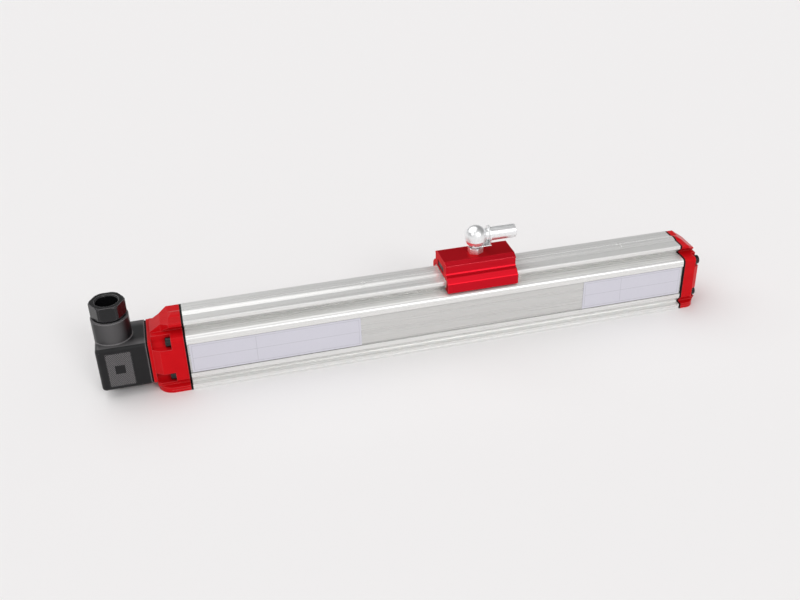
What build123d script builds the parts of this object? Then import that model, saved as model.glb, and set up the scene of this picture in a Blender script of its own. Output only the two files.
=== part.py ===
from build123d import *
import os
from math import cos, radians, sqrt

# Linear position sensor with a captive magnet slider, in millimetres.
# X runs along the profile, away from the cable plug. Z is up. The origin is the
# centre of the profile's underside.

# How far a cut runs past the face that it opens
overrun = 1.0

# Extruded profile
profile_length = 300.0
foot_half = 17.6
foot_height = 3.2
foot_line_height = 1.6
foot_line_depth = 0.3
groove_root_half = 13.9
groove_root_low = 3.5
groove_root_high = 4.1
body_half = 16.7
lip_height = 7.5
recess_low = 10.3
recess_high = 29.5
recess_depth = 0.6
shoulder_height = 34.2
shoulder_radius = 2.5

# Dovetail rail on the profile
rail_neck_half = 6.0
rail_half = 10.5
rail_lip_height = 38.5
rail_top = 40.7
rail_chamfer = 0.5
rail_bead_half = 3.4
rail_bead_height = 1.0
rail_bead_clearance = 0.6
stroke_mark_from_left = 102.6
stroke_mark_from_right = 35.0
stroke_mark_width = 4.0
stroke_mark_half = 3.5
stroke_mark_depth = 0.25

# Hollows inside the profile
chamber_half = 12.4
chamber_side_low = 13.6
chamber_side_high = 27.2
chamber_neck_half = 8.6
chamber_low = 5.0
chamber_high = 29.0
chamber_corner = 1.0
board_slot_depth = 1.0
board_slot_clearance = 0.2
board_edge_clearance = 0.1
duct_height = 34.0
duct_radius = 3.4
duct_mouth_half = 1.2

# End screws
screw_side = 13.0
screw_high = 31.0
screw_low = 9.3
screw_radius = 1.5
screw_clearance = 0.05
screw_hole_clearance = 0.25
screw_head_radius = 2.75
screw_head_height = 3.0
screw_head_chamfer = 0.3
screw_length = 14.0
screw_socket_flats = 2.5
screw_socket_depth = 1.7
channel_clearance = 0.4

# Gaskets and end caps
gasket_thickness = 1.2
cap_top_drop = 0.2
cap_bead_run = 2.0
cap_pocket_low = 8.0
seat_depth = 7.0
connector_cap_length = 17.6
connector_cap_bend = 13.6
connector_cap_corner = 2.8
connector_cap_foot_radius = 9.0
connector_cap_slope = [(6.9, 40.5), (11.3, 39.0), (17.6, 35.0)]
connector_cap_taper = [(7.1, rail_half), (11.6, rail_neck_half)]
connector_cap_wall = 4.0
blind_cap_length = 9.8
blind_cap_bend = 6.8
blind_cap_corner = 1.8
blind_cap_foot_radius = 6.0
blind_cap_slope = [(3.5, 40.5), (9.8, 36.3)]
blind_cap_taper = [(4.3, rail_half), (9.8, 7.2)]
blind_cap_pocket = 3.5

# Angled cable plug
plug_axis_height = 18.95
plug_size = 27.5
plug_depth = 27.3
plug_edge_radius = 2.2
plug_wall = 2.2
plug_back_wall = 3.0
flange_thickness = 1.8
flange_window = 22.4
plate_clearance = 0.2
hub_radius = 8.0
hub_clearance = 0.2
nut_thickness = 3.0
nut_flats = 18.4
nut_clearance = 0.3
hub_end_margin = 1.0
plug_seal_thickness = 1.0
plug_seal_size = 26.6
grip_low = 8.3
grip_high = 28.9
grip_near = 9.0
grip_far = 22.2
grip_depth = 0.3
grip_rib_pitch = 1.1
grip_rib_width = 0.45
grip_mark_half = 2.7
tower_radius = 10.3
tower_top = 46.3
tower_rim_chamfer = 0.5
tower_bore_radius = 7.7
tower_seat_height = 33.6
tower_throat_radius = 5.6
gland_hex_flats = 17.6
gland_corner_radius = 9.8
gland_gap = 0.7
gland_hex_height = 8.3
gland_edge_chamfer = 0.6
gland_bore_radius = 6.1
gland_thread_clearance = 0.1
gland_seal_height = 5.0
gland_seal_bore_radius = 3.6
gland_washer_thickness = 0.8
gland_washer_bore_radius = 5.3
insert_size = 20.0
insert_depth = 13.0
insert_end_gap = 0.5
blade_width = 6.3
blade_thickness = 0.8
blade_reach = 8.5
blade_tail = 3.0
blade_pitch_radius = 6.6
blade_clearance = 0.15
centre_screw_radius = 1.5
centre_screw_head_radius = 3.0
centre_screw_head_height = 2.4
centre_screw_stands_out = 0.4
centre_screw_slot_depth = 1.0
centre_screw_slot_half = 0.4
centre_screw_grip = 8.0
centre_screw_hole_depth = 9.0

# Slider
slider_centre = 21.8
slider_length = 42.8
slider_half = 15.4
slider_floor = 35.3
slider_skirt_top = 41.0
slider_skirt_radius = 1.2
slider_step_half = 12.7
slider_step_height = 43.9
slider_waist_half = 10.1
slider_waist_foot = 44.8
slider_waist_radius = 2.2
slider_waist_top = 49.6
slider_eave_half = 10.5
slider_eave_height = 50.4
slider_flat_half = 7.4
slider_top = 52.0
liner_thickness = 1.2
liner_clearance = 0.1
liner_gap_half = 5.0
liner_set_back = 0.5
magnet_bay_half = 6.0
magnet_bay_low = 43.3
magnet_bay_high = 47.3
carrier_top_clearance = 0.3
magnet_length = 8.0
magnet_width = 8.0
magnet_height = 2.6
magnet_count = 2
magnet_pitch = 20.0

# Ball joint
ball_height = 62.3
ball_radius = 4.0
ball_flat_height = 3.4
ball_clearance = 0.05
stud_neck_radius = 2.2
stud_hex_flats = 8.0
stud_hex_height = 3.4
stud_hex_chamfer = 0.45
stud_thread_radius = 2.4
stud_thread_length = 4.4
head_radius = 6.5
head_skirt = 2.0
head_rim_radius = 5.3
head_floor = 4.6
head_bore_radius = 4.15
ring_wire_radius = 0.5
ring_drop = 2.5
ring_groove_clearance = 0.12
ring_opening = 50.0
shank_radius = 4.0
shank_reach = 24.0
shank_neck_radius = 3.6
shank_neck_end = 7.0
shank_thread_radius = 2.1
shank_thread_depth = 12.0
shank_end_chamfer = 0.4
clip_thickness = 0.8
clip_ring_radius = 5.2
clip_ring_place = 7.4
clip_leg_half = 1.7
clip_leg_top = 4.3
clip_fork_height = 4.8
clip_fork_thickness = 0.5
clip_fork_inner_half = 3.9
clip_fork_outer_half = 5.0
clip_fork_root = 4.4
clip_fork_tip = -3.5

# Sensing element and electronics
board_end_gap = 2.0
board_length = 84.0
board_thickness = 1.6
board_height = 14.6
can_places = [(10.0, 7.0), (19.0, 7.0)]
can_radius = 3.1
can_height = 7.7
chip_places = [(26.0, -4.0), (42.0, 5.0), (44.0, -6.0), (72.0, 6.0)]
chip_sizes = [(10.0, 1.6), (7.0, 1.4), (5.0, 1.2), (6.0, 3.2)]
pickup_on_board = 56.0
pickup_length = 12.0
pickup_flange = 1.5
pickup_winding_drop = 1.0
waveguide_wire_radius = 0.4
waveguide_tube_radius = 1.6
waveguide_tube_wall = 0.5
spacer_count = 5
spacer_length = 6.0
spacer_clearance = 0.1
damper_length = 20.0
end_plug_length = 9.0
ribbon_width = 6.0
ribbon_thickness = 0.4
lead_radius = 0.6
lead_pitch = 3.0
lead_clearance = 0.1
lead_on_board = 5.0
lead_straight_end = 4.0
lead_bend_radius = 1.5

# Labels in the front recess
label_thickness = 0.3
label_margin = 0.4
label_left_length = 97.0
label_right_length = 64.0
label_end_gap = 1.0

half_length = profile_length / 2
cap_face = half_length + gasket_thickness
end_screw_places = [(side * screw_side, height) for side in (-1, 1) for height in (screw_low, screw_high)]

# Places outward from the gasket at the plug's end
wall_inside = connector_cap_length - connector_cap_wall
hub_start = wall_inside - nut_thickness - hub_end_margin
flange_face = connector_cap_length + flange_thickness
housing_face = flange_face + plug_seal_thickness
far_face = housing_face + plug_depth
tower_place = far_face - tower_radius
centre_screw_seat = far_face + centre_screw_stands_out - centre_screw_head_height
contact_places = [(0, 1), (0, -1), (1, 0), (-1, 0)]

# Heights in the cable gland
washer_floor = tower_seat_height + gland_seal_height
nut_stem_floor = washer_floor + gland_washer_thickness
gland_seat = tower_top + gland_gap
gland_top = gland_seat + gland_hex_height

# Places along the slider, on the board and along the sensing element
slider_start = slider_centre - slider_length / 2
slider_end = slider_centre + slider_length / 2
board_top = board_height + board_thickness
board_start = board_end_gap - half_length
pickup_start = board_start + pickup_on_board
waveguide_end = half_length - end_plug_length
tube_start = pickup_start + pickup_length
tube_end = waveguide_end - damper_length


def mirrored(points):
    """Face in the YZ section from its +Y half, listed from the bottom to the top."""
    other = [(-y, z) for y, z in reversed(points)]
    return make_face(Polyline(*points, *other, close=True))


def bar(section, x_start, x_end):
    """Solid of a YZ section between two places along X."""
    return Pos(x_start, 0, 0) * extrude(Plane.YZ * section, amount=x_end - x_start)


def rod(radius, x_start, x_end, y=0.0, z=0.0):
    """Round bar along X."""
    return bar(Pos(y, z) * Circle(radius), x_start, x_end)


def block(x_range, y_range, z_range):
    """Straight block between two places on each axis."""
    sizes = [high - low for low, high in (x_range, y_range, z_range)]
    centre = [(high + low) / 2 for low, high in (x_range, y_range, z_range)]
    return Pos(*centre) * Box(*sizes)


def rounded(section, half, height, radius):
    """Rounds the two mirrored corners at a given place of a section."""
    corners = [
        v for v in section.vertices()
        if abs(abs(v.X) - half) < 0.01 and abs(v.Y - height) < 0.01
    ]
    return fillet(corners, radius)


def rail_points(top):
    """Half of the dovetail rail, from its neck to the middle of its top."""
    return [
        (rail_neck_half, shoulder_height),
        (rail_half, rail_lip_height),
        (rail_half, top - rail_chamfer),
        (rail_half - rail_chamfer, top),
    ]


def bead(top, extra):
    """Section of the rounded bead along the middle of the rail's top, grown by an amount."""
    radius = (rail_bead_half**2 + rail_bead_height**2) / (2 * rail_bead_height)
    circle = Pos(0, top + rail_bead_height - radius) * Circle(radius + extra)
    above = Pos(0, top - overrun + radius) * Rectangle(2 * foot_half, 2 * radius)
    return circle & above


def outline(top, label_recess, foot_line):
    """Outer section of the profile, which the gaskets and end caps repeat."""
    points = [(foot_half, 0.0)]
    if foot_line:
        points += [
            (foot_half, foot_line_height - foot_line_depth),
            (foot_half - foot_line_depth, foot_line_height),
            (foot_half, foot_line_height + foot_line_depth),
        ]
    points += [
        (foot_half, foot_height),
        (groove_root_half, groove_root_low),
        (groove_root_half, groove_root_high),
        (body_half, lip_height),
    ]
    if label_recess:
        points += [
            (body_half, recess_low),
            (body_half - recess_depth, recess_low),
            (body_half - recess_depth, recess_high),
            (body_half, recess_high),
        ]
    points += [(body_half, shoulder_height)]
    section = mirrored(points + rail_points(top))
    return rounded(section, body_half, shoulder_height, shoulder_radius) + bead(top, 0)


def inner_hollows():
    """Electronics chamber with its board slots, and the duct of the sensing element."""
    chamber = mirrored([
        (chamber_neck_half, chamber_low),
        (chamber_neck_half, chamber_side_low - chamber_corner),
        (chamber_half, chamber_side_low),
        (chamber_half, chamber_side_high),
        (chamber_neck_half, chamber_side_high + chamber_corner),
        (chamber_neck_half, chamber_high),
    ])
    slot_height = board_thickness + board_slot_clearance
    slots = Pos(0, board_height + slot_height / 2) * Rectangle(
        2 * (chamber_half + board_slot_depth), slot_height
    )
    mouth = Pos(0, (chamber_high + duct_height) / 2) * Rectangle(
        2 * duct_mouth_half, duct_height - chamber_high + overrun
    )
    duct = Pos(0, duct_height) * Circle(duct_radius)
    return chamber + slots + mouth + duct


def stroke_mark(x_edge, direction):
    """Shallow triangular mark across the bead, with its square side at x_edge."""
    triangle = make_face(Polyline(
        (x_edge, stroke_mark_half),
        (x_edge + direction * stroke_mark_width, stroke_mark_half),
        (x_edge, -stroke_mark_half),
        close=True,
    ))
    prism = Pos(0, 0, rail_top - stroke_mark_depth) * extrude(
        triangle, amount=stroke_mark_depth + rail_bead_height + overrun
    )
    reach = stroke_mark_width + overrun
    return prism - bar(bead(rail_top, -stroke_mark_depth), x_edge - reach, x_edge + reach)


def make_profile():
    section = outline(rail_top, True, True) - inner_hollows()
    for y, z in end_screw_places:
        section -= Pos(y, z) * Circle(screw_radius + screw_clearance)
    solid = bar(section, -half_length, half_length)
    solid -= stroke_mark(stroke_mark_from_left - half_length, 1)
    solid -= stroke_mark(half_length - stroke_mark_from_right, -1)
    return solid


def cap_opening():
    """Section of the way through a gasket into its end cap."""
    middle = (cap_pocket_low + chamber_high) / 2
    opening = Pos(0, middle) * Rectangle(2 * chamber_neck_half, chamber_high - cap_pocket_low)
    nut_corner = nut_flats / 2 / cos(radians(30)) + nut_clearance
    return opening + Pos(0, plug_axis_height) * Circle(nut_corner)


def make_gasket(x_start):
    section = outline(rail_top - cap_top_drop, False, False) - cap_opening()
    for y, z in end_screw_places:
        section -= Pos(y, z) * Circle(screw_radius + screw_hole_clearance)
    return bar(section, x_start, x_start + gasket_thickness)


def cap_plan(length, bend, corner, foot_radius):
    """Two prisms that trim the cap's outer corners, above and in the foot."""
    wide = foot_half + overrun
    upper = make_face(Polyline(
        (0, wide), (bend, wide), (bend, body_half), (length, body_half - corner),
        (length, -body_half + corner), (bend, -body_half), (bend, -wide), (0, -wide),
        close=True,
    ))
    lower = Pos(length / 2, 0) * Rectangle(length, 2 * foot_half)
    ends = [v for v in lower.vertices() if v.X > length - 0.01]
    lower = fillet(ends, foot_radius)
    split = groove_root_low
    return (
        Pos(0, 0, split) * extrude(upper, amount=rail_top + rail_bead_height - split)
        + extrude(lower, amount=split)
    )


def screw_channels(length):
    """Ways for the cap screws, open at the cap's sides, beyond their seats."""
    radius = screw_head_radius + channel_clearance
    wide = foot_half + overrun
    along = (seat_depth, length + overrun)
    ways = []
    for side in (-1, 1):
        across = sorted((side * screw_side, side * wide))
        inner = side * (screw_side - radius)
        for height in (screw_low, screw_high):
            ways.append(rod(radius, *along, side * screw_side, height))
            ways.append(block(along, across, (height - radius, height + radius)))
        above = (screw_high, shoulder_height + overrun)
        ways.append(block(along, sorted((inner, side * wide)), above))
    return ways


def cap_blank(length, bend, corner, foot_radius, slope, taper):
    """End cap in its own frame: X from 0 at the gasket to its length."""
    top = rail_top - cap_top_drop
    solid = bar(outline(top, False, True), 0, length)
    solid &= cap_plan(length, bend, corner, foot_radius)
    past = length + overrun
    over = rail_top + rail_bead_height + overrun
    bead_end = slope[0][0] - cap_bead_run
    above = make_face(Polyline(
        (bead_end, top + rail_bead_height), *slope, (past, slope[-1][1]), (past, over), (bead_end, over),
        close=True,
    ))
    solid -= extrude(Plane.XZ * above, amount=foot_half, both=True)
    for side in (-1, 1):
        beside = make_face(Polyline(
            *[(x, side * y) for x, y in taper],
            (past, side * taper[-1][1]),
            (past, side * foot_half),
            (taper[0][0], side * foot_half),
            close=True,
        ))
        lifted = Pos(0, 0, over) * beside
        solid -= extrude(lifted, amount=over - shoulder_height, dir=(0, 0, -1))
    for way in screw_channels(length):
        solid -= way
    for y, z in end_screw_places:
        solid -= rod(screw_radius + screw_hole_clearance, -overrun, length, y, z)
    return solid


def place_connector_end(solid):
    """From a cap's own frame to the plug's end of the profile."""
    return Pos(-cap_face, 0, 0) * Rot(0, 0, 180) * solid


def place_blind_end(solid):
    return Pos(cap_face, 0, 0) * solid


def make_connector_cap():
    solid = cap_blank(
        connector_cap_length, connector_cap_bend, connector_cap_corner,
        connector_cap_foot_radius, connector_cap_slope, connector_cap_taper,
    )
    solid -= bar(cap_opening(), -overrun, wall_inside)
    solid -= rod(hub_radius + hub_clearance, 0, connector_cap_length + overrun, 0, plug_axis_height)
    return place_connector_end(solid)


def make_blind_cap():
    solid = cap_blank(
        blind_cap_length, blind_cap_bend, blind_cap_corner,
        blind_cap_foot_radius, blind_cap_slope, blind_cap_taper,
    )
    solid -= bar(cap_opening(), -overrun, blind_cap_pocket)
    return place_blind_end(solid)


def hexagon(flats):
    return RegularPolygon(flats / 2, 6, major_radius=False)


def make_cap_screws(place):
    """Four socket head screws of one end cap, as separate solids."""
    screws = []
    head_end = seat_depth + screw_head_height
    for y, z in end_screw_places:
        head = rod(screw_head_radius, seat_depth, head_end, y, z)
        rim = [e for e in head.edges() if e.center().X > head_end - 0.01]
        head = chamfer(rim, screw_head_chamfer)
        socket = Pos(y, z) * hexagon(screw_socket_flats)
        head -= bar(socket, head_end - screw_socket_depth, head_end + overrun)
        stem = rod(screw_radius, seat_depth - screw_length, seat_depth, y, z)
        screws.append(place(head + stem))
    return Compound(children=screws)


def make_flange():
    """Square frame between the cap and the plug's seal, round the contact base."""
    section = Pos(0, plug_axis_height) * RectangleRounded(plug_size, plug_size, plug_edge_radius)
    section -= Pos(0, plug_axis_height) * Rectangle(flange_window, flange_window)
    solid = bar(section, connector_cap_length, connector_cap_length + flange_thickness)
    return place_connector_end(solid)


def blade_section(place, clearance):
    """Section of one contact blade, set square to the line to the centre screw."""
    across, up = place
    width = blade_width + 2 * clearance
    thickness = blade_thickness + 2 * clearance
    size = (width, thickness) if across == 0 else (thickness, width)
    centre = Pos(across * blade_pitch_radius, plug_axis_height + up * blade_pitch_radius)
    return centre * Rectangle(*size)


def make_contact_base():
    """Base with a square plate and a threaded hub that passes through the cap's wall."""
    size = flange_window - 2 * plate_clearance
    plate = bar(Pos(0, plug_axis_height) * Rectangle(size, size), connector_cap_length, flange_face)
    solid = plate + rod(hub_radius, hub_start, connector_cap_length, 0, plug_axis_height)
    for place in contact_places:
        solid -= bar(blade_section(place, 0.0), hub_start - overrun, flange_face + overrun)
    solid -= rod(
        centre_screw_radius + screw_clearance,
        flange_face - centre_screw_hole_depth, flange_face + overrun, 0, plug_axis_height,
    )
    return place_connector_end(solid)


def make_contact_blades():
    blades = []
    for place in contact_places:
        blade = bar(blade_section(place, 0.0), hub_start - blade_tail, flange_face + blade_reach)
        blades.append(place_connector_end(blade))
    return Compound(children=blades)


def make_base_nut():
    """Flat nut that clamps the contact base from inside the cap."""
    section = Pos(0, plug_axis_height) * (hexagon(nut_flats) - Circle(hub_radius))
    return place_connector_end(bar(section, wall_inside - nut_thickness, wall_inside))


def make_plug_seal():
    section = Pos(0, plug_axis_height) * RectangleRounded(plug_seal_size, plug_seal_size, plug_edge_radius)
    section -= Pos(0, plug_axis_height) * Circle(centre_screw_radius + screw_hole_clearance)
    for place in contact_places:
        section -= blade_section(place, blade_clearance)
    return place_connector_end(bar(section, flange_face, housing_face))


def upright(radius, low, high):
    """Round bar on the tower's axis, in the cap's own frame."""
    return Pos(tower_place, 0, low) * extrude(Circle(radius), amount=high - low)


def grip_panel(slant):
    """Cut for the ribbed finger grip on one side: a shallow panel less its ribs."""
    centre_x = housing_face + (grip_near + grip_far) / 2
    centre_z = (grip_low + grip_high) / 2
    width = grip_far - grip_near
    height = grip_high - grip_low
    panel = Rectangle(width, height)
    reach = (width + height) / 2
    for index in range(int(2 * reach / grip_rib_pitch)):
        across = (index + 0.5) * grip_rib_pitch - reach
        rib_length = sqrt(2) * (height + overrun)
        panel -= Pos(across, 0) * Rot(0, 0, slant) * Rectangle(rib_length, grip_rib_width)
    panel -= Rectangle(2 * grip_mark_half, 2 * grip_mark_half)
    face = Plane(origin=(centre_x, 0, centre_z), x_dir=(1, 0, 0), z_dir=(0, -1, 0))
    return extrude(face * panel, amount=plug_size / 2 + overrun)


def make_plug_housing():
    """Square hood with a cable tower at its outer side."""
    top = plug_axis_height + plug_size / 2
    hood = Pos(housing_face + plug_depth / 2, 0, plug_axis_height) * Box(plug_depth, plug_size, plug_size)
    edges = [e for e in hood.edges() if e.center().X > housing_face + 0.01]
    hood = fillet(edges, plug_edge_radius)
    core = block(
        (housing_face - overrun, far_face + overrun),
        (grip_depth - plug_size / 2, plug_size / 2 - grip_depth),
        (0, tower_top),
    )
    front = grip_panel(-45) - core
    hood -= front
    hood -= front.mirror(Plane.XZ)
    tower = upright(tower_radius, plug_axis_height, tower_top)
    rim = [e for e in tower.edges() if e.center().Z > tower_top - 0.01]
    solid = hood + chamfer(rim, tower_rim_chamfer)
    inside = plug_size - 2 * plug_wall
    cavity_end = far_face - plug_back_wall
    cavity = Pos(0, plug_axis_height) * Rectangle(inside, inside)
    solid -= bar(cavity, housing_face - overrun, cavity_end)
    solid -= upright(tower_throat_radius, top - plug_wall - overrun, tower_top + overrun)
    solid -= upright(tower_bore_radius, tower_seat_height, tower_top + overrun)
    hole_radius = centre_screw_radius + screw_hole_clearance
    solid -= rod(hole_radius, cavity_end - overrun, far_face + overrun, 0, plug_axis_height)
    head_hole_radius = centre_screw_head_radius + screw_hole_clearance
    solid -= rod(head_hole_radius, centre_screw_seat, far_face + overrun, 0, plug_axis_height)
    return place_connector_end(solid)


def make_terminal_insert():
    """Contact carrier inside the hood, with a pocket for each blade."""
    section = Pos(0, plug_axis_height) * Rectangle(insert_size, insert_size)
    section -= Pos(0, plug_axis_height) * Circle(centre_screw_radius + screw_hole_clearance)
    solid = bar(section, housing_face, housing_face + insert_depth)
    pocket_end = flange_face + blade_reach + insert_end_gap
    for place in contact_places:
        solid -= bar(blade_section(place, blade_clearance), housing_face - overrun, pocket_end)
    return place_connector_end(solid)


def make_centre_screw():
    head_end = far_face + centre_screw_stands_out
    head = rod(centre_screw_head_radius, centre_screw_seat, head_end, 0, plug_axis_height)
    slot = block(
        (head_end - centre_screw_slot_depth, head_end + overrun),
        (-centre_screw_head_radius - overrun, centre_screw_head_radius + overrun),
        (plug_axis_height - centre_screw_slot_half, plug_axis_height + centre_screw_slot_half),
    )
    stem = rod(centre_screw_radius, flange_face - centre_screw_grip, centre_screw_seat, 0, plug_axis_height)
    return place_connector_end(head - slot + stem)


def make_gland_seal():
    """Rubber bush in the tower that the gland nut squeezes on the cable."""
    solid = upright(tower_bore_radius - gland_thread_clearance, tower_seat_height, washer_floor)
    solid -= upright(gland_seal_bore_radius, tower_seat_height - overrun, washer_floor + overrun)
    return place_connector_end(solid)


def make_gland_washer():
    solid = upright(tower_bore_radius - gland_thread_clearance, washer_floor, nut_stem_floor)
    solid -= upright(gland_washer_bore_radius, washer_floor - overrun, nut_stem_floor + overrun)
    return place_connector_end(solid)


def make_gland_nut():
    """Hexagonal pressing screw of the cable gland, with rounded corners."""
    hexagonal = Pos(tower_place, 0, gland_seat) * extrude(
        hexagon(gland_hex_flats), amount=gland_hex_height
    )
    turned = upright(gland_corner_radius, gland_seat, gland_top)
    ends = [e for e in turned.edges() if e.geom_type == GeomType.CIRCLE]
    solid = hexagonal & chamfer(ends, gland_edge_chamfer)
    solid += upright(tower_bore_radius - gland_thread_clearance, nut_stem_floor, gland_seat)
    solid -= upright(gland_bore_radius, nut_stem_floor - overrun, gland_top + overrun)
    mouth = [
        e for e in solid.edges()
        if e.geom_type == GeomType.CIRCLE and abs(e.radius - gland_bore_radius) < 0.01
        and e.center().Z > gland_top - 0.01
    ]
    return place_connector_end(chamfer(mouth, gland_edge_chamfer))


def flank_offset(amount):
    """How far a flank parallel to the rail's moves sideways for an offset square to it."""
    rise = rail_lip_height - shoulder_height
    run = rail_half - rail_neck_half
    return amount * sqrt(rise**2 + run**2) / rise


def around_rail(amount, floor):
    """Section of the rail grown by an amount, cut off level at a floor."""
    slope = (rail_half - rail_neck_half) / (rail_lip_height - shoulder_height)
    shift = flank_offset(amount)
    half = rail_half + amount
    knee = rail_lip_height + (amount - shift) / slope
    foot = rail_neck_half + shift + (floor - shoulder_height) * slope
    return mirrored([(foot, floor), (half, knee), (half, rail_top + amount)])


def make_slider_block():
    """Extruded slider that grips the rail on both sides."""
    section = mirrored([
        (slider_half, slider_floor),
        (slider_half, slider_skirt_top),
        (slider_step_half, slider_step_height),
        (slider_waist_half, slider_waist_foot),
        (slider_waist_half, slider_waist_top),
        (slider_eave_half, slider_waist_top),
        (slider_eave_half, slider_eave_height),
        (slider_flat_half, slider_top),
    ])
    section = rounded(section, slider_half, slider_skirt_top, slider_skirt_radius)
    section = rounded(section, slider_waist_half, slider_waist_foot, slider_waist_radius)
    section -= around_rail(liner_clearance + liner_thickness, slider_floor - overrun)
    section -= bead(rail_top, rail_bead_clearance)
    solid = bar(section, slider_start, slider_end)
    solid -= block(
        (slider_start - overrun, slider_end + overrun), (-magnet_bay_half, magnet_bay_half),
        (magnet_bay_low, magnet_bay_high),
    )
    stud_hole = Circle(stud_thread_radius + screw_clearance)
    solid -= Pos(slider_centre, 0, magnet_bay_high - overrun) * extrude(
        stud_hole, amount=slider_top - magnet_bay_high + 2 * overrun
    )
    return solid


def make_glide_liners():
    """Two plastic strips between the slider and the rail's edges."""
    outer = around_rail(liner_clearance + liner_thickness, slider_floor)
    inner = around_rail(liner_clearance, slider_floor - overrun)
    section = outer - inner - Pos(0, rail_top) * Rectangle(2 * liner_gap_half, rail_top)
    solid = bar(section, slider_start + liner_set_back, slider_end - liner_set_back)
    return Compound(children=list(solid.solids()))


def magnet_places():
    return [
        slider_centre + (index - (magnet_count - 1) / 2) * magnet_pitch
        for index in range(magnet_count)
    ]


def make_magnet_carrier():
    """Plastic bar in the slider's bay, with a pocket for each magnet."""
    solid = block(
        (slider_start + liner_set_back, slider_end - liner_set_back),
        (-magnet_bay_half, magnet_bay_half),
        (magnet_bay_low, magnet_bay_high - carrier_top_clearance),
    )
    for x in magnet_places():
        solid -= magnet(x)
    return solid


def magnet(x):
    return block(
        (x - magnet_length / 2, x + magnet_length / 2), (-magnet_width / 2, magnet_width / 2),
        (magnet_bay_low, magnet_bay_low + magnet_height),
    )


def make_magnets():
    return Compound(children=[magnet(x) for x in magnet_places()])


def on_ball(solid):
    """From the ball's own frame to the slider."""
    return Pos(slider_centre, 0, ball_height) * solid


def make_ball_stud():
    """Ball with a flat crown on a hexagonal stud that screws into the slider."""
    ball = Sphere(ball_radius)
    ball -= Pos(0, 0, ball_flat_height + ball_radius) * Box(*[2 * ball_radius] * 3)
    base = slider_top - ball_height
    neck = Pos(0, 0, base) * extrude(Circle(stud_neck_radius), amount=-base)
    hexagonal = Pos(0, 0, base) * Rot(0, 0, 90) * extrude(hexagon(stud_hex_flats), amount=stud_hex_height)
    corner_radius = stud_hex_flats / 2 / cos(radians(30))
    turned = Pos(0, 0, base) * extrude(Circle(corner_radius), amount=stud_hex_height)
    ends = [e for e in turned.edges() if e.center().Z > base + 0.01 and e.geom_type == GeomType.CIRCLE]
    hexagonal &= chamfer(ends, stud_hex_chamfer)
    thread = Pos(0, 0, base - stud_thread_length) * extrude(
        Circle(stud_thread_radius), amount=stud_thread_length
    )
    return on_ball(ball + neck + hexagonal + thread)


def make_ball_socket():
    """Angle joint head over the ball, with a shank that has a thread in its end."""
    half_section = make_face(
        Line((0, head_radius), (0, -head_floor))
        + Line((0, -head_floor), (head_rim_radius, -head_floor))
        + Line((head_rim_radius, -head_floor), (head_radius, -head_skirt))
        + Line((head_radius, -head_skirt), (head_radius, 0))
        + RadiusArc((head_radius, 0), (0, head_radius), -head_radius)
    )
    head = revolve(Plane.XZ * half_section, Axis.Z)
    neck = rod(shank_neck_radius, 0, shank_neck_end)
    shank = rod(shank_radius, shank_neck_end, shank_reach)
    ends = [e for e in shank.edges() if e.geom_type == GeomType.CIRCLE]
    solid = head + neck + chamfer(ends, shank_end_chamfer)
    solid -= rod(shank_thread_radius, shank_reach - shank_thread_depth, shank_reach + overrun)
    solid -= Sphere(ball_radius + ball_clearance)
    bore_start = -head_floor - overrun
    solid -= Pos(0, 0, bore_start) * extrude(Circle(head_bore_radius), amount=-bore_start)
    groove_half = ring_wire_radius + ring_groove_clearance
    groove_radius = ring_radius() + groove_half
    solid -= Pos(0, 0, -ring_drop - groove_half) * extrude(Circle(groove_radius), amount=2 * groove_half)
    return on_ball(solid)


def ring_radius():
    """Radius of the snap ring's centre line, where its wire just clears the ball."""
    reach = ball_radius + ring_wire_radius + ball_clearance
    return sqrt(reach**2 - ring_drop**2)


def make_snap_ring():
    """Open wire ring in the head's groove that holds the ball."""
    wire = Pos(ring_radius(), -ring_drop) * Circle(ring_wire_radius)
    ring = revolve(Plane.XZ * wire, Axis.Z, 360 - ring_opening)
    return on_ball(Rot(0, 0, 180 + ring_opening / 2) * ring)


def make_safety_clip():
    """Bent spring strip: a ring on the shank, a leg, and a fork below the head."""
    ring_start = clip_ring_place
    ring_end = clip_ring_place + clip_thickness
    ring = Circle(clip_ring_radius) - Circle(shank_radius + ball_clearance)
    solid = bar(ring, ring_start, ring_end)
    fork_floor = -clip_fork_height - clip_fork_thickness
    solid += block(
        (ring_start, ring_end), (-clip_leg_half, clip_leg_half),
        (fork_floor, -clip_leg_top),
    )
    solid += block(
        (clip_fork_tip, ring_end), (-clip_fork_outer_half, clip_fork_outer_half),
        (fork_floor, -clip_fork_height),
    )
    solid -= block(
        (clip_fork_tip - overrun, clip_fork_root), (-clip_fork_inner_half, clip_fork_inner_half),
        (fork_floor - overrun, -clip_leg_top),
    )
    return on_ball(solid)


def make_label(x_start, x_end):
    """Thin foil stuck in the front recess."""
    face = -(body_half - recess_depth)
    return block(
        (x_start, x_end), (face - label_thickness, face),
        (recess_low + label_margin, recess_high - label_margin),
    )


def make_board():
    half = chamber_half + board_slot_depth - board_edge_clearance
    return block(
        (board_start, board_start + board_length), (-half, half), (board_height, board_top),
    )


def make_board_components():
    """Parts soldered on the board: two capacitors, three chips and a choke."""
    pieces = []
    for along, y in can_places:
        can = extrude(Circle(can_radius), amount=can_height)
        pieces.append(Pos(board_start + along, y, board_top) * can)
    for (along, y), (size, height) in zip(chip_places, chip_sizes):
        x = board_start + along
        pieces.append(block(
            (x - size / 2, x + size / 2), (y - size / 2, y + size / 2), (board_top, board_top + height)
        ))
    return Compound(children=pieces)


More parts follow.
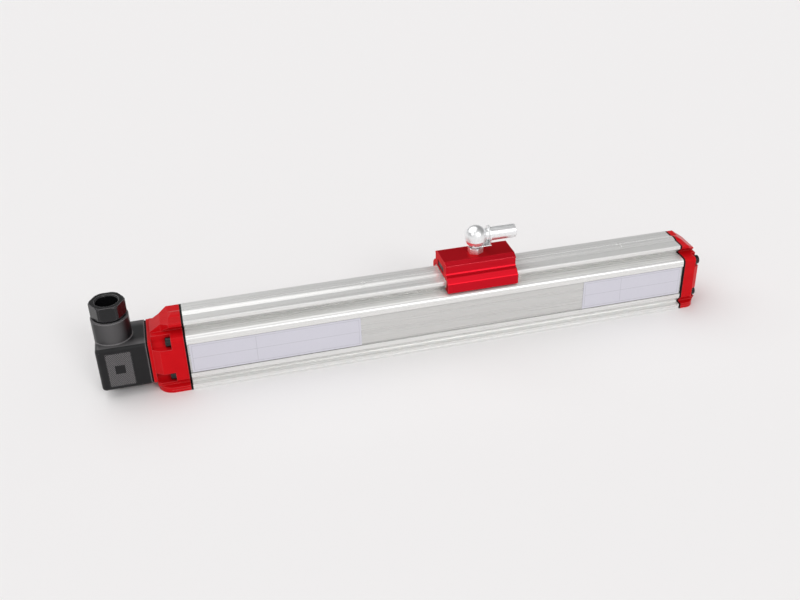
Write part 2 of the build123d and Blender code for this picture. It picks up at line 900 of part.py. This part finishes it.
def make_pickup_coil():
    """Bobbin round the start of the sensing wire."""
    radius = duct_radius - spacer_clearance
    solid = rod(radius, pickup_start, pickup_start + pickup_flange, 0, duct_height)
    solid += rod(radius - pickup_winding_drop, pickup_start, tube_start, 0, duct_height)
    solid += rod(radius, tube_start - pickup_flange, tube_start, 0, duct_height)
    solid -= rod(waveguide_wire_radius, pickup_start - overrun, tube_start + overrun, 0, duct_height)
    return solid


def make_waveguide_wire():
    return rod(waveguide_wire_radius, pickup_start, waveguide_end, 0, duct_height)


def make_waveguide_tube():
    solid = rod(waveguide_tube_radius, tube_start, tube_end, 0, duct_height)
    inner_radius = waveguide_tube_radius - waveguide_tube_wall
    solid -= rod(inner_radius, tube_start - overrun, tube_end + overrun, 0, duct_height)
    return solid


def make_tube_spacers():
    """Rings that centre the tube in its duct."""
    pitch = (tube_end - tube_start) / spacer_count
    section = Pos(0, duct_height) * (Circle(duct_radius - spacer_clearance) - Circle(waveguide_tube_radius))
    spacers = []
    for index in range(spacer_count):
        middle = tube_start + (index + 0.5) * pitch
        spacers.append(bar(section, middle - spacer_length / 2, middle + spacer_length / 2))
    return Compound(children=spacers)


def make_damper():
    """Soft sleeve that absorbs the pulse at the far end of the wire."""
    section = Pos(0, duct_height) * (Circle(duct_radius - spacer_clearance) - Circle(waveguide_wire_radius))
    return bar(section, tube_end, waveguide_end)


def make_end_plug():
    """Rubber plug that holds the sensing element lengthways in the duct."""
    return rod(duct_radius - spacer_clearance, waveguide_end, half_length, 0, duct_height)


def make_pickup_ribbon():
    """Flat lead from the pickup coil down to the board."""
    middle = pickup_start + pickup_length / 2
    top = duct_height - (duct_radius - spacer_clearance - pickup_winding_drop)
    return block(
        (middle - ribbon_width / 2, middle + ribbon_width / 2),
        (-ribbon_thickness / 2, ribbon_thickness / 2), (board_top, top),
    )


def make_signal_leads():
    """Four leads from the board to the blades' tails."""
    tail_x = -cap_face - hub_start + blade_tail
    height = board_top + lead_radius + lead_clearance
    leads = []
    for index, (across, up) in enumerate(sorted(contact_places)):
        y = (index - (len(contact_places) - 1) / 2) * lead_pitch
        y_tail = -across * blade_pitch_radius
        z_tail = plug_axis_height + up * blade_pitch_radius
        start = (board_start + lead_on_board, y, height)
        route = FilletPolyline(
            start,
            (board_start, y, height),
            (tail_x + lead_straight_end, y_tail, z_tail),
            (tail_x, y_tail, z_tail),
            radius=lead_bend_radius,
        )
        section = Plane(origin=start, z_dir=(-1, 0, 0)) * Circle(lead_radius)
        leads.append(sweep(section, path=route))
    return Compound(children=leads)


def make_nodes():
    """Every node's name and its solid or group of solids."""
    return {
        "profile_extrusion": make_profile(),
        "connector_gasket": make_gasket(-cap_face),
        "blind_gasket": make_gasket(half_length),
        "connector_end_cap": make_connector_cap(),
        "blind_end_cap": make_blind_cap(),
        "connector_cap_screws": make_cap_screws(place_connector_end),
        "blind_cap_screws": make_cap_screws(place_blind_end),
        "label_left": make_label(
            -half_length + label_end_gap, -half_length + label_end_gap + label_left_length
        ),
        "label_right": make_label(
            half_length - label_end_gap - label_right_length, half_length - label_end_gap
        ),
        "connector_flange": make_flange(),
        "contact_base": make_contact_base(),
        "contact_blades": make_contact_blades(),
        "base_nut": make_base_nut(),
        "plug_seal": make_plug_seal(),
        "plug_housing": make_plug_housing(),
        "terminal_insert": make_terminal_insert(),
        "centre_screw": make_centre_screw(),
        "gland_seal": make_gland_seal(),
        "gland_washer": make_gland_washer(),
        "gland_nut": make_gland_nut(),
        "circuit_board": make_board(),
        "board_components": make_board_components(),
        "signal_leads": make_signal_leads(),
        "pickup_coil": make_pickup_coil(),
        "pickup_ribbon": make_pickup_ribbon(),
        "waveguide_wire": make_waveguide_wire(),
        "waveguide_tube": make_waveguide_tube(),
        "tube_spacers": make_tube_spacers(),
        "damping_sleeve": make_damper(),
        "duct_plug": make_end_plug(),
        "slider_block": make_slider_block(),
        "glide_liners": make_glide_liners(),
        "magnet_carrier": make_magnet_carrier(),
        "position_magnets": make_magnets(),
        "ball_stud": make_ball_stud(),
        "snap_ring": make_snap_ring(),
        "ball_socket": make_ball_socket(),
        "safety_clip": make_safety_clip(),
    }


os.makedirs("parts", exist_ok=True)
for name, solid in make_nodes().items():
    export_step(solid, f"parts/{name}.step")
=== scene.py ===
from math import cos, radians, sin
import bpy
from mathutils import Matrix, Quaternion, Vector


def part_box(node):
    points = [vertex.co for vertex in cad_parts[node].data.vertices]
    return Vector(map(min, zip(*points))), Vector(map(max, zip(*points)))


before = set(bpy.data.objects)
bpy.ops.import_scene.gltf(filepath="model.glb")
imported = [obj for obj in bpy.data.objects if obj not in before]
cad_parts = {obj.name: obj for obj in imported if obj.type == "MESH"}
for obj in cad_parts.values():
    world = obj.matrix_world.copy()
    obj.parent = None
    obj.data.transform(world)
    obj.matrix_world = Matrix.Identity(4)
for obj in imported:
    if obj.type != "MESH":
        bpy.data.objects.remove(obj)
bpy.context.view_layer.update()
bpy.context.scene.view_settings.view_transform = "Standard"

# The table that the sensor lies on: one plain sheet of matt pale paper, so wide that its edge lies far
# behind the object.
paper_colour = (0.90, 0.885, 0.885)
floor_half = 6.0
floor_corners = [
    (-floor_half, -floor_half, 0),
    (floor_half, -floor_half, 0),
    (floor_half, floor_half, 0),
    (-floor_half, floor_half, 0),
]
floor_mesh = bpy.data.meshes.new("studio_floor")
floor_mesh.from_pydata(floor_corners, [], [(0, 1, 2, 3)])
floor = bpy.data.objects.new("studio_floor", floor_mesh)
bpy.context.scene.collection.objects.link(floor)
paper = bpy.data.materials.new("studio_paper")
paper.use_nodes = True
paper_shader = paper.node_tree.nodes["Principled BSDF"]
paper_shader.inputs["Base Color"].default_value = (*paper_colour, 1)
paper_shader.inputs["Roughness"].default_value = 1.0
paper_shader.inputs["Specular IOR Level"].default_value = 0.0
floor_mesh.materials.append(paper)


# The studio round the table: a soft room, pale all round at the table's height, with a pale patch in
# front of the object and a dimmer wall behind it. A wide lamp shines from high at the back left, and two
# smaller soft ones from low in front, one at either side.
class Shade:
    """A value or colour in a node tree. Arithmetic on values adds Math nodes."""

    def __init__(self, tree, socket=None):
        self.tree = tree
        self.socket = socket

    def node(self, kind, settings, sockets, output=0):
        """Adds a node with its settings, then its sockets' values or links, and gives one output."""
        made = self.tree.nodes.new("ShaderNode" + kind)
        for name, value in settings.items():
            setattr(made, name, value)
        for name, value in sockets.items():
            if isinstance(value, Shade):
                self.tree.links.new(value.socket, made.inputs[name])
            else:
                made.inputs[name].default_value = value
        return Shade(self.tree, made.outputs[output])

    def math(self, operation, *values):
        """Adds one Math node on these values, in their order."""
        return self.node("Math", {"operation": operation}, dict(enumerate(values)))

    def __add__(self, other):
        return self.math("ADD", self, other)

    def __radd__(self, other):
        return self.math("ADD", other, self)

    def __sub__(self, other):
        return self.math("SUBTRACT", self, other)

    def __rsub__(self, other):
        return self.math("SUBTRACT", other, self)

    def __mul__(self, other):
        return self.math("MULTIPLY", self, other)

    def __rmul__(self, other):
        return self.math("MULTIPLY", other, self)


wall_glow = 0.20
patch_glow = 0.98
patch_falloff = 4.0
patch_direction = (0.0, -0.82, 0.57)
table_glow = 0.87
pale_band_top = radians(8)
pale_band_end = radians(18)
room = bpy.data.worlds.new("studio_room")
bpy.context.scene.world = room
room.use_nodes = True
looking = Shade(room.node_tree).node("TexCoord", {}, {}, "Generated")
facing = looking.node("VectorMath", {"operation": "DOT_PRODUCT"}, {0: looking, 1: patch_direction}, "Value")
facing = facing.math("MAXIMUM", facing, 0.0)
glow = wall_glow + patch_glow * facing.math("POWER", facing, patch_falloff)
upward = looking.node("SeparateXYZ", {}, {0: looking}, "Z")
low_down = upward.node("MapRange", {}, {
    "Value": upward,
    "From Min": sin(pale_band_top),
    "From Max": sin(pale_band_end),
    "To Min": 1.0,
    "To Max": 0.0,
})
glow = glow + low_down * (table_glow - glow)
room.node_tree.links.new(glow.socket, room.node_tree.nodes["Background"].inputs["Color"])


def soft_lamp(name, azimuth, elevation, spread, strength):
    """A far, wide lamp that shines from a direction, in degrees. Azimuth 0 is straight in front."""
    lamp = bpy.data.lights.new(name, "SUN")
    lamp.energy = strength
    lamp.angle = radians(spread)
    holder = bpy.data.objects.new(name, lamp)
    bpy.context.scene.collection.objects.link(holder)
    turn = radians(azimuth)
    rise = radians(elevation)
    source = Vector((sin(turn) * cos(rise), -cos(turn) * cos(rise), sin(rise)))
    holder.rotation_euler = source.to_track_quat("Z", "Y").to_euler()


soft_lamp("back_lamp", azimuth=226, elevation=60, spread=72, strength=1.50)
soft_lamp("left_lamp", azimuth=-60, elevation=35, spread=20, strength=0.18)
soft_lamp("right_lamp", azimuth=20, elevation=34, spread=18, strength=0.58)

# The camera: at the photograph's viewing angle, in front of the plug's end and above, a little rolled.
# Its place and lens follow from the profile's parallel edges and the square plug.
camera_azimuth = radians(-13.665)
camera_elevation = radians(31.16)
camera_roll = radians(-1.678)
camera_place = (-0.1430, -0.4870, 0.3298)
camera_near = 0.01
focal_pixels = 991.7
picture_pixels = 800
sensor_width = 36.0
camera_data = bpy.data.cameras.new("photo_camera")
camera_data.sensor_width = sensor_width
camera_data.lens = sensor_width * focal_pixels / picture_pixels
camera_data.clip_start = camera_near
camera = bpy.data.objects.new("photo_camera", camera_data)
bpy.context.scene.collection.objects.link(camera)
bpy.context.scene.camera = camera
camera_back = Vector((
    sin(camera_azimuth) * cos(camera_elevation),
    -cos(camera_azimuth) * cos(camera_elevation),
    sin(camera_elevation),
))
camera.rotation_mode = "QUATERNION"
camera.rotation_quaternion = (-camera_back).to_track_quat("-Z", "Y") @ Quaternion((0, 0, 1), camera_roll)
camera.location = camera_place


# The profile: one extruded length of aluminium with the dovetail rail along its top, etched and clear
# anodised. The die leaves fine straight lines along its whole length. The recesses in its sides have
# their floor painted darker as shade, with painted shade deepening in their corners.
def new_finish(name):
    """A new material, its shader, and the place on the object that its detail follows, in metres."""
    made = bpy.data.materials.new(name)
    made.use_nodes = True
    shader = made.node_tree.nodes["Principled BSDF"]
    place = Shade(made.node_tree).node("TexCoord", {}, {}, "Object")
    return made, shader, place


def set_surface(shader, sockets):
    """Puts values or links on the shader's own sockets."""
    for name, value in sockets.items():
        if isinstance(value, Shade):
            value.tree.links.new(value.socket, shader.inputs[name])
        else:
            shader.inputs[name].default_value = value


def measured(place, axis):
    """How far the place lies along X, Y or Z, in metres."""
    return place.node("SeparateXYZ", {}, {0: place}, axis)


def within(value, middle, half):
    """1 where the value is no further than that from the middle, and 0 elsewhere."""
    return value.math("COMPARE", value, middle, half)


def stretched(place, x, y, z):
    """The place multiplied along each axis, so that a grain on it runs long where the factor is small."""
    return place.node("VectorMath", {"operation": "MULTIPLY"}, {0: place, 1: (x, y, z)})


def grain(place, size, detail):
    """Soft noise from 0 to 1 whose spots are about that size, in metres."""
    return place.node("TexNoise", {}, {"Vector": place, "Scale": 1 / size, "Detail": detail})


def blend(factor, first, second):
    """Goes from the first colour to the second as the factor goes from 0 to 1."""
    first, second = (colour if isinstance(colour, Shade) else (*colour, 1) for colour in (first, second))
    return factor.node("Mix", {"data_type": "RGBA"}, {0: factor, 6: first, 7: second}, 2)


def rounded(place, radius):
    """The surface's direction with its sharp edges softened to that radius, in metres."""
    return place.node("Bevel", {"samples": 6}, {"Radius": radius})


def edges(place, soft):
    """From 0 on a flat to 1 along a sharp edge, from how far the softened direction has turned."""
    true = place.node("NewGeometry", {}, {}, "Normal")
    agreement = soft.node("VectorMath", {"operation": "DOT_PRODUCT"}, {0: soft, 1: true}, "Value")
    return agreement.node("MapRange", {}, {"Value": agreement, "From Min": 0.995, "From Max": 0.88})


def sheltered(place, reach):
    """From 0 on an open face towards 1 deep in a corner, judged within that distance, in metres."""
    settings = {"samples": 6, "only_local": True}
    return 1.0 - place.node("AmbientOcclusion", settings, {"Distance": reach}, "AO")


def relief(height, depth, strength, over=None):
    """Bump whose full height is that depth, in metres, over a softened direction if one is given."""
    sockets = {"Height": height, "Distance": depth, "Strength": strength}
    if over:
        sockets["Normal"] = over
    return height.node("Bump", {}, sockets)


def dress(names, finish):
    """Gives each of these pieces the finish all over."""
    for name in names:
        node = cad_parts[name]
        node.data.materials.clear()
        node.data.materials.append(finish)
        node.data.polygons.foreach_set("material_index", [0] * len(node.data.polygons))


etched_dark = (0.56, 0.558, 0.545)
etched_light = (0.88, 0.878, 0.865)
corner_shade_colour = (0.16, 0.16, 0.155)
corner_shade_reach = 0.0012
die_line_pitch = 0.00022
die_line_length = 0.06
band_pitch = 0.004
band_stretch = 0.02
etch_size = 0.00012
recess_low = 0.0103
recess_high = 0.0295
profile_edge = 0.00015
profile_relief = 0.000006
anodised, shader, place = new_finish("clear_anodised_extrusion")
die_lines = grain(stretched(place, die_line_pitch / die_line_length, 1, 1), die_line_pitch, 3.0)
bands = grain(stretched(place, band_stretch, 1, 1), band_pitch, 2.0)
etch = grain(place, etch_size, 1.0)
recess_middle = (recess_low + recess_high) / 2
in_recess = within(measured(place, "Z"), recess_middle, (recess_high - recess_low) / 2)
# The recess floor is painted darker here, as shade.
tone = 0.5 + 0.5 * (die_lines - 0.5) + 0.6 * (bands - 0.5) - 1.1 * in_recess
soft = rounded(place, profile_edge)
# Painted shade in the recesses, darkest deep in their corners.
corner_shade = 1.3 * in_recess * sheltered(place, corner_shade_reach)
set_surface(shader, {
    "Base Color": blend(corner_shade, blend(0.5 + 0.5 * tone, etched_dark, etched_light), corner_shade_colour),
    "Metallic": 0.45,
    "Roughness": 0.28 + 0.10 * (bands - 0.5) + 0.08 * (die_lines - 0.5) - 0.06 * edges(place, soft),
    "Normal": relief(die_lines + 0.6 * etch, profile_relief, 0.5, soft),
})
dress(["profile_extrusion"], anodised)


# The gaskets and seals: matt black nitrile rubber, punched from sheet for the two caps and the plug, and
# moulded for the cable gland and the end of the duct. Screws and the gland's nut clamp them.
def dress_plainly(name, pieces, spot, detail, dark, light, roughness, unevenness,
                  depth=None, strength=None, constants=None):
    """Dresses pieces in one finish whose colour and gloss vary a little from spot to spot.

    The spot's size and the relief's depth are in metres, and without a depth the surface is smooth.
    """
    finish, shader, place = new_finish(name)
    spots = grain(place, spot, detail)
    set_surface(shader, {
        "Base Color": blend(spots, dark, light),
        "Roughness": roughness + unevenness * (spots - 0.5),
    })
    if constants:
        set_surface(shader, constants)
    if depth:
        set_surface(shader, {"Normal": relief(spots, depth, strength)})
    dress(pieces, finish)


dress_plainly(
    "black_rubber",
    ["connector_gasket", "blind_gasket", "plug_seal", "gland_seal", "duct_plug"],
    spot=0.0004,
    detail=3.0,
    dark=(0.002, 0.002, 0.002),
    light=(0.008, 0.008, 0.008),
    roughness=0.62,
    unevenness=0.15,
    depth=0.00002,
    strength=0.4,
    constants={"Specular IOR Level": 0.12},
)

# The end caps and the flange behind the plug: moulded from red glass-filled plastic with the fine
# grain of a spark-eroded mould. Four screws hold each cap on its gasket.
cap_red_dark = (0.54, 0.004, 0.008)
cap_red_light = (0.64, 0.007, 0.011)
cap_highlight_pink = (0.88, 0.17, 0.18)
cap_grain_size = 0.00028
cap_flow_size = 0.006
cap_edge = 0.0004
cap_relief = 0.000012
cap_red, shader, place = new_finish("moulded_red")
mould_grain = grain(place, cap_grain_size, 2.0)
flow = grain(place, cap_flow_size, 2.0)
soft = rounded(place, cap_edge)
# Painted highlight: a paler pink laid along the caps' edges and creases.
painted_cap_highlight = 0.5 * edges(place, soft) * (0.6 + 0.8 * mould_grain)
set_surface(shader, {
    "Base Color": blend(painted_cap_highlight, blend(flow, cap_red_dark, cap_red_light), cap_highlight_pink),
    "Roughness": 0.30 + 0.14 * (mould_grain - 0.5) + 0.06 * (flow - 0.5) - 0.10 * edges(place, soft),
    "Specular IOR Level": 0.16,
    "Specular Tint": (1.0, 0.24, 0.26, 1),
    "Normal": relief(mould_grain, cap_relief, 0.6, soft),
})
dress(["connector_end_cap", "blind_end_cap", "connector_flange"], cap_red)

# The cap screws: four socket head screws of blackened steel in each cap, with a thin film of oil. They
# run through the cap and its gasket into the profile's screw channels.
dress_plainly(
    "blackened_steel",
    ["connector_cap_screws", "blind_cap_screws"],
    spot=0.0005,
    detail=4.0,
    dark=(0.003, 0.003, 0.004),
    light=(0.010, 0.009, 0.009),
    roughness=0.18,
    unevenness=0.14,
    depth=0.000008,
    strength=0.5,
    constants={"Metallic": 0.2},
)

# The labels: satin polyester foils with faint ruled fields, one at either end of the front recess. They
# are punched from sheet and stuck on.
foil_dark = (0.61, 0.60, 0.67)
foil_light = (0.67, 0.66, 0.73)
rule_grey = (0.30, 0.30, 0.33)
foil_margin = 0.0012
rule_half = 0.00012
field_share = 0.38
fibre_size = 0.0003
foil_relief = 0.000004
foil, shader, place = new_finish("blank_foil")
fibre = grain(place, fibre_size, 2.0)
along = measured(place, "X")
height = measured(place, "Z")
ruled = 0.0
for name in ("label_left", "label_right"):
    low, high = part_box(name)
    middle = (low[0] + high[0]) / 2
    middle_height = (low[2] + high[2]) / 2
    half_length = (high[0] - low[0]) / 2 - foil_margin
    half_height = (high[2] - low[2]) / 2 - foil_margin
    divider = low[0] + field_share * (high[0] - low[0])
    framed = within(along, middle, half_length + rule_half)
    framed = framed * within(height, middle_height, half_height + rule_half)
    inner = within(along, middle, half_length - rule_half)
    inner = inner * within(height, middle_height, half_height - rule_half)
    level_rule = within(height, middle_height, rule_half) * framed
    upright_rule = within(along, divider, rule_half) * framed
    ruled = ruled + framed - inner + level_rule + upright_rule
printed = 0.45 * ruled.math("MINIMUM", ruled, 1.0)
set_surface(shader, {
    "Base Color": blend(printed, blend(fibre, foil_dark, foil_light), rule_grey),
    "Roughness": 0.38 + 0.06 * (fibre - 0.5),
    "Coat Weight": 0.15,
    "Normal": relief(fibre, foil_relief, 0.3),
})
dress(["label_left", "label_right"], foil)

# The cable plug and the gland's nut: black glass-filled plastic with a fine spark-eroded grain. Both have
# painted grey highlights along their edges, the plug also on its grips' rib tops, with a painted sheen on
# the tower's front and back. The magnets' carrier under the slider is moulded from the same plastic.
plug_dark = (0.008, 0.008, 0.009)
plug_light = (0.014, 0.014, 0.015)
highlight_grey = (0.24, 0.23, 0.235)
plug_grain_size = 0.00035
plug_flow_size = 0.005
plug_edge = 0.0013
plug_relief = 0.00002
plug_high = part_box("plug_housing")[1]
grip_middle = plug_high[0] - 0.0156
grip_height = 0.0186
grip_half_length = 0.0066
grip_half_height = 0.0103
grip_mark_half = 0.0027
rib_top_depth = 0.00005
tower_middle = 0.0393
tower_half = 0.0068
tower_sheen_start = 0.006
tower_sheen_full = 0.0105
plug_black, shader, place = new_finish("moulded_black")
plug_grain = grain(place, plug_grain_size, 3.0)
plug_flow = grain(place, plug_flow_size, 2.0)
soft = rounded(place, plug_edge)
along = measured(place, "X")
across = measured(place, "Y")
height = measured(place, "Z")
from_middle = across.math("ABSOLUTE", across)
on_grip = within(along, grip_middle, grip_half_length) * within(height, grip_height, grip_half_height)
on_mark = within(along, grip_middle, grip_mark_half) * within(height, grip_height, grip_mark_half)
rib_tops = on_grip * within(from_middle, plug_high[1], rib_top_depth) * (1.0 - on_mark)
# Painted highlight along the plug's edges.
edge_highlight_mask = edges(place, soft) * (1.0 - on_grip)
# Painted sheen on the tower's front and back.
tower_sheen_mask = from_middle.node("MapRange", {}, {
    "Value": from_middle,
    "From Min": tower_sheen_start,
    "From Max": tower_sheen_full,
})
tower_sheen_mask = tower_sheen_mask * within(height, tower_middle, tower_half)
# All the plug's painted highlights and sheen, including the rib tops, mixed towards grey.
plug_highlight_mask = edge_highlight_mask * (0.75 + 0.6 * plug_grain) + 0.75 * rib_tops + 0.35 * tower_sheen_mask
set_surface(shader, {
    "Base Color": blend(plug_highlight_mask, blend(plug_flow, plug_dark, plug_light), highlight_grey),
    "Roughness": 0.33 + 0.14 * (plug_grain - 0.5) - 0.08 * edge_highlight_mask,
    "Specular IOR Level": 0.22,
    "Normal": relief(plug_grain, plug_relief, 0.7, soft),
})
dress(["plug_housing", "terminal_insert", "contact_base", "magnet_carrier"], plug_black)
nut_dark = (0.004, 0.004, 0.005)
nut_light = (0.009, 0.009, 0.010)
nut_highlight_grey = (0.20, 0.19, 0.20)
nut_grain_size = 0.0005
nut_edge = 0.0006
nut_relief = 0.00001
nut_black, shader, place = new_finish("gland_black")
nut_grain = grain(place, nut_grain_size, 2.0)
soft = rounded(place, nut_edge)
# Painted highlight: grey along the nut's edges.
nut_edge_highlight = 0.7 * edges(place, soft) * (0.5 + nut_grain)
set_surface(shader, {
    "Base Color": blend(nut_edge_highlight, blend(nut_grain, nut_dark, nut_light), nut_highlight_grey),
    "Roughness": 0.20 + 0.12 * (nut_grain - 0.5) - 0.04 * edges(place, soft),
    "Specular IOR Level": 0.35,
    "Normal": relief(nut_grain, nut_relief, 0.5, soft),
})
dress(["gland_nut"], nut_black)

# The slider: sawn from an extruded length of aluminium and anodised red, satin, with the die's fine
# lines along its travel. It grips the profile's dovetail through two plastic liners.
slider_dark = (0.52, 0.006, 0.014)
slider_light = (0.68, 0.012, 0.026)
slider_highlight_pink = (0.88, 0.24, 0.29)
slider_line_pitch = 0.0002
slider_line_stretch = 0.01
slider_edge = 0.0003
slider_relief = 0.000006
slider_red, shader, place = new_finish("red_anodised_extrusion")
slider_lines = grain(stretched(place, slider_line_stretch, 1, 1), slider_line_pitch, 3.0)
soft = rounded(place, slider_edge)
# Painted highlight: a pale pink laid along the slider's edges.
painted_slider_highlight = 0.45 * edges(place, soft) * (0.5 + slider_lines)
set_surface(shader, {
    "Base Color": blend(painted_slider_highlight, blend(slider_lines, slider_dark, slider_light), slider_highlight_pink),
    "Metallic": 0.75,
    "Roughness": 0.34 + 0.10 * (slider_lines - 0.5) - 0.08 * edges(place, soft),
    "Specular IOR Level": 0.30,
    "Specular Tint": (1.0, 0.16, 0.19, 1),
    "Normal": relief(slider_lines, slider_relief, 0.5, soft),
})
dress(["slider_block"], slider_red)

# The ball joint: a ball stud turned from steel and screwed into the slider, the joint's head on its ball,
# and the spring steel clip that secures the head. All three are bright zinc plated.
zinc_dark = (0.86, 0.87, 0.88)
zinc_light = (0.95, 0.95, 0.95)
turning_pitch = 0.0004
turning_stretch = 0.3
mottle_size = 0.0015
joint_edge = 0.0002
joint_relief = 0.000008
zinc, shader, place = new_finish("bright_zinc")
turning = grain(stretched(place, 1, turning_stretch, 1), turning_pitch, 3.0)
mottle = grain(place, mottle_size, 3.0)
soft = rounded(place, joint_edge)
set_surface(shader, {
    "Base Color": blend(mottle, zinc_dark, zinc_light),
    "Metallic": 0.85,
    "Roughness": 0.30 + 0.14 * (mottle - 0.5),
    "Normal": relief(turning, joint_relief, 0.5, soft),
})
dress(["ball_stud", "ball_socket", "safety_clip"], zinc)

# Inside pieces of plain steel, drawn or turned and left bright: the plug's centre screw, the nut on its
# base, the snap ring in the joint's head, and the waveguide's wire in its tube.
dress_plainly(
    "plain_steel",
    ["centre_screw", "base_nut", "snap_ring", "waveguide_wire", "waveguide_tube"],
    spot=0.0004,
    detail=3.0,
    dark=(0.50, 0.50, 0.51),
    light=(0.66, 0.66, 0.66),
    roughness=0.30,
    unevenness=0.15,
    depth=0.00001,
    strength=0.4,
    constants={"Metallic": 1.0},
)

# The plug's contacts: three blades and the earth blade, punched from brass sheet and tinned. They are
# fixed in the plug's base.
dress_plainly(
    "tinned_brass",
    ["contact_blades"],
    spot=0.0006,
    detail=3.0,
    dark=(0.62, 0.58, 0.48),
    light=(0.76, 0.72, 0.62),
    roughness=0.32,
    unevenness=0.15,
    constants={"Metallic": 1.0},
)

# The slider's liners, the tube's spacers, the pickup with its flat lead, and the gland's pressure ring:
# natural acetal, milky and waxy, moulded.
dress_plainly(
    "natural_acetal",
    ["glide_liners", "tube_spacers", "pickup_coil", "gland_washer", "pickup_ribbon"],
    spot=0.0008,
    detail=2.0,
    dark=(0.74, 0.72, 0.66),
    light=(0.80, 0.78, 0.72),
    roughness=0.42,
    unevenness=0.1,
    depth=0.00001,
    strength=0.3,
)

# The damping sleeve: a soft red-brown silicone tube, cut to length and pushed over the far end of the
# waveguide.
dress_plainly(
    "silicone_sleeve",
    ["damping_sleeve"],
    spot=0.0006,
    detail=2.0,
    dark=(0.30, 0.07, 0.04),
    light=(0.38, 0.09, 0.05),
    roughness=0.55,
    unevenness=0.1,
)

# The electronics: a green glass-epoxy board in the profile's slots, with black moulded packages soldered
# on it and blue insulated leads to the plug's contacts.
board_dark = (0.010, 0.10, 0.035)
board_light = (0.018, 0.15, 0.05)
weave_size = 0.0007
weave_stretch = 0.3
board_green, shader, place = new_finish("solder_mask_green")
weave = grain(stretched(place, 1, weave_stretch, 1), weave_size, 2.0)
set_surface(shader, {
    "Base Color": blend(weave, board_dark, board_light),
    "Roughness": 0.30 + 0.1 * (weave - 0.5),
})
dress(["circuit_board"], board_green)
dress_plainly(
    "package_black",
    ["board_components"],
    spot=0.0003,
    detail=2.0,
    dark=(0.018, 0.018, 0.019),
    light=(0.03, 0.03, 0.032),
    roughness=0.45,
    unevenness=0.1,
)
dress_plainly(
    "lead_insulation",
    ["signal_leads"],
    spot=0.0006,
    detail=2.0,
    dark=(0.02, 0.05, 0.25),
    light=(0.03, 0.07, 0.32),
    roughness=0.40,
    unevenness=0.1,
)

# The magnets under the slider's stud: sintered and nickel plated, held in their carrier, close to the
# sensing wire in the profile.
dress_plainly(
    "nickel_plate",
    ["position_magnets"],
    spot=0.0007,
    detail=3.0,
    dark=(0.42, 0.40, 0.37),
    light=(0.54, 0.52, 0.48),
    roughness=0.25,
    unevenness=0.12,
    constants={"Metallic": 1.0},
)
